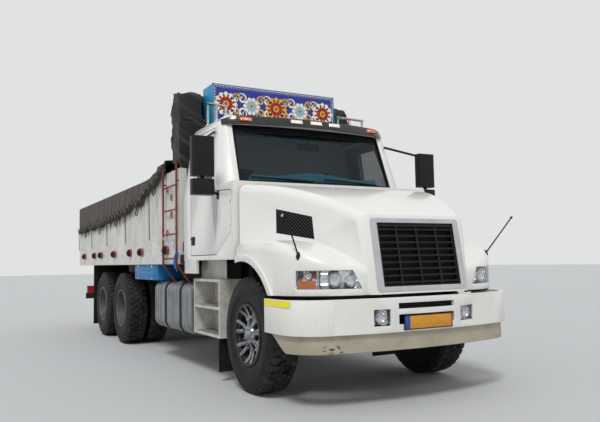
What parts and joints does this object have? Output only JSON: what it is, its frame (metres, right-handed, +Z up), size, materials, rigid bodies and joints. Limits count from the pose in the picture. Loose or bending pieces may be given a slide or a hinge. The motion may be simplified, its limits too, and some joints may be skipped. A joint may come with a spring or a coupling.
{
  "type": "decorated bonneted cargo truck",
  "caption": "Bonneted cargo truck with a steered front axle, twin-tyred rear bogie, tilting bonnet, high-sided body under a tarpaulin and a crown board on the cab.",
  "frame": {"origin": "on the ground, midway between the front bumper's face and the body's tail, on the centre line", "axes": "+X forward, +Y to the driver's left, +Z up"},
  "size_m": [9.734, 3.14, 3.475],
  "materials": {
    "tyre": "tread rubber",
    "wheel_steel": "satin dark enamel",
    "wheel_chrome": "polished",
    "white_paint": "gloss white enamel",
    "chassis_paint": "satin black",
    "engine_iron": "raw",
    "black_plastic": "grained",
    "glass": "tinted",
    "lamp": "clear",
    "lamp_red": "moulded",
    "chrome": "polished",
    "aluminium": "dull",
    "rubber": "matte",
    "blue_paint": "gloss",
    "red_paint": "worn",
    "canvas": "coated canvas",
    "seat_cloth": "woven",
    "beige_paint": "satin"
  },
  "bodies": {
    "chassis": {"frame": "chassis_paint", "cross_members": "chassis_paint", "engine": "engine_iron", "front_axle": "chassis_paint", "drive_axles": "chassis_paint", "leaf_springs": "chassis_paint", "air_tanks": "aluminium", "fuel_tanks": "aluminium", "tank_straps": "rubber", "steps": "white_paint", "mud_flaps": "rubber", "toolbox": "blue_paint", "underrun_bar": "chassis_paint", "rear_lamps": "lamp_red", "front_bumper": "white_paint", "valance": "beige_paint", "fog_lamps": "lamp", "cab_shell": "white_paint", "windscreen": "glass", "dashboard": "black_plastic", "seats": "seat_cloth", "steering_wheel": "black_plastic", "sun_visor": "black_plastic", "roof_rack": "chrome", "crown_box": "blue_paint", "load_floor": "white_paint", "side_walls": "white_paint", "headboard": "white_paint", "tarpaulin": "canvas", "tarp_bundle": "canvas", "ladder": "red_paint", "marker_lamps": "lamp_red"},
    "bonnet": {"bonnet": "white_paint", "grille": "black_plastic", "headlamps": "lamp", "guide_rods": "chrome"},
    "door_right": {"door_right": "white_paint", "door_glass_right": "glass", "mirror_right": "black_plastic"},
    "door_left": {"door_left": "white_paint", "door_glass_left": "glass", "mirror_left": "black_plastic"},
    "rear_door_right": {"rear_door_right": "white_paint"},
    "rear_door_left": {"rear_door_left": "white_paint"},
    "knuckle_right": {"knuckle_right": "chassis_paint"},
    "knuckle_left": {"knuckle_left": "chassis_paint"},
    "tie_rod": {"tie_rod": "chassis_paint"},
    "wheel_front_right": {"tyre_front_right": "tyre", "rim_front_right": "wheel_chrome"},
    "wheel_front_left": {"tyre_front_left": "tyre", "rim_front_left": "wheel_chrome"},
    "wheels_middle_right": {"tyres_middle_right": "tyre", "rims_middle_right": "wheel_steel"},
    "wheels_middle_left": {"tyres_middle_left": "tyre", "rims_middle_left": "wheel_steel"},
    "wheels_rear_right": {"tyres_rear_right": "tyre", "rims_rear_right": "wheel_steel"},
    "wheels_rear_left": {"tyres_rear_left": "tyre", "rims_rear_left": "wheel_steel"}
  },
  "joints": [
    {"name": "bonnet_tilt", "type": "hinge", "parent": "chassis", "child": "bonnet", "pos_m": [4.74, 0, 1], "axis": [0, 1, 0], "range_deg": [0, 60]},
    {"name": "door_right_hinge", "type": "hinge", "parent": "chassis", "child": "door_right", "pos_m": [3.324, -1.227, 1.72], "axis": [0, 0, 1], "range_deg": [0, 70]},
    {"name": "door_left_hinge", "type": "hinge", "parent": "chassis", "child": "door_left", "pos_m": [3.324, 1.227, 1.72], "axis": [0, 0, -1], "range_deg": [0, 70]},
    {"name": "rear_door_right_hinge", "type": "hinge", "parent": "chassis", "child": "rear_door_right", "pos_m": [-4.868, -1.156, 1.92], "axis": [0, 0, 1], "range_deg": [0, 100]},
    {"name": "rear_door_left_hinge", "type": "hinge", "parent": "chassis", "child": "rear_door_left", "pos_m": [-4.868, 1.156, 1.92], "axis": [0, 0, -1], "range_deg": [0, 100]},
    {"name": "steer_right", "type": "hinge", "parent": "chassis", "child": "knuckle_right", "pos_m": [3.55, -0.86, 0.562], "axis": [0, 0, 1], "range_deg": [-35, 35]},
    {"name": "steer_left", "type": "hinge", "parent": "chassis", "child": "knuckle_left", "pos_m": [3.55, 0.86, 0.562], "axis": [0, 0, 1], "range_deg": [-35, 35]},
    {"name": "tie_rod_pivot", "type": "hinge", "parent": "knuckle_right", "child": "tie_rod", "pos_m": [3.375, -0.86, 0.438], "axis": [0, 0, 1], "range_deg": [-35, 35]},
    {"name": "wheel_front_right_spin", "type": "hinge", "parent": "knuckle_right", "child": "wheel_front_right", "pos_m": [3.55, -1.012, 0.562], "axis": [0, 1, 0], "continuous": true},
    {"name": "wheel_front_left_spin", "type": "hinge", "parent": "knuckle_left", "child": "wheel_front_left", "pos_m": [3.55, 1.012, 0.562], "axis": [0, 1, 0], "continuous": true},
    {"name": "wheels_middle_right_spin", "type": "hinge", "parent": "chassis", "child": "wheels_middle_right", "pos_m": [-1.25, -0.911, 0.562], "axis": [0, 1, 0], "continuous": true},
    {"name": "wheels_middle_left_spin", "type": "hinge", "parent": "chassis", "child": "wheels_middle_left", "pos_m": [-1.25, 0.911, 0.562], "axis": [0, 1, 0], "continuous": true},
    {"name": "wheels_rear_right_spin", "type": "hinge", "parent": "chassis", "child": "wheels_rear_right", "pos_m": [-2.62, -0.911, 0.562], "axis": [0, 1, 0], "continuous": true},
    {"name": "wheels_rear_left_spin", "type": "hinge", "parent": "chassis", "child": "wheels_rear_left", "pos_m": [-2.62, 0.911, 0.562], "axis": [0, 1, 0], "continuous": true}
  ],
  "couplings": [
    {"joint": "steer_left", "follows": "steer_right", "ratio": 1},
    {"joint": "tie_rod_pivot", "follows": "steer_right", "ratio": -1}
  ]
}
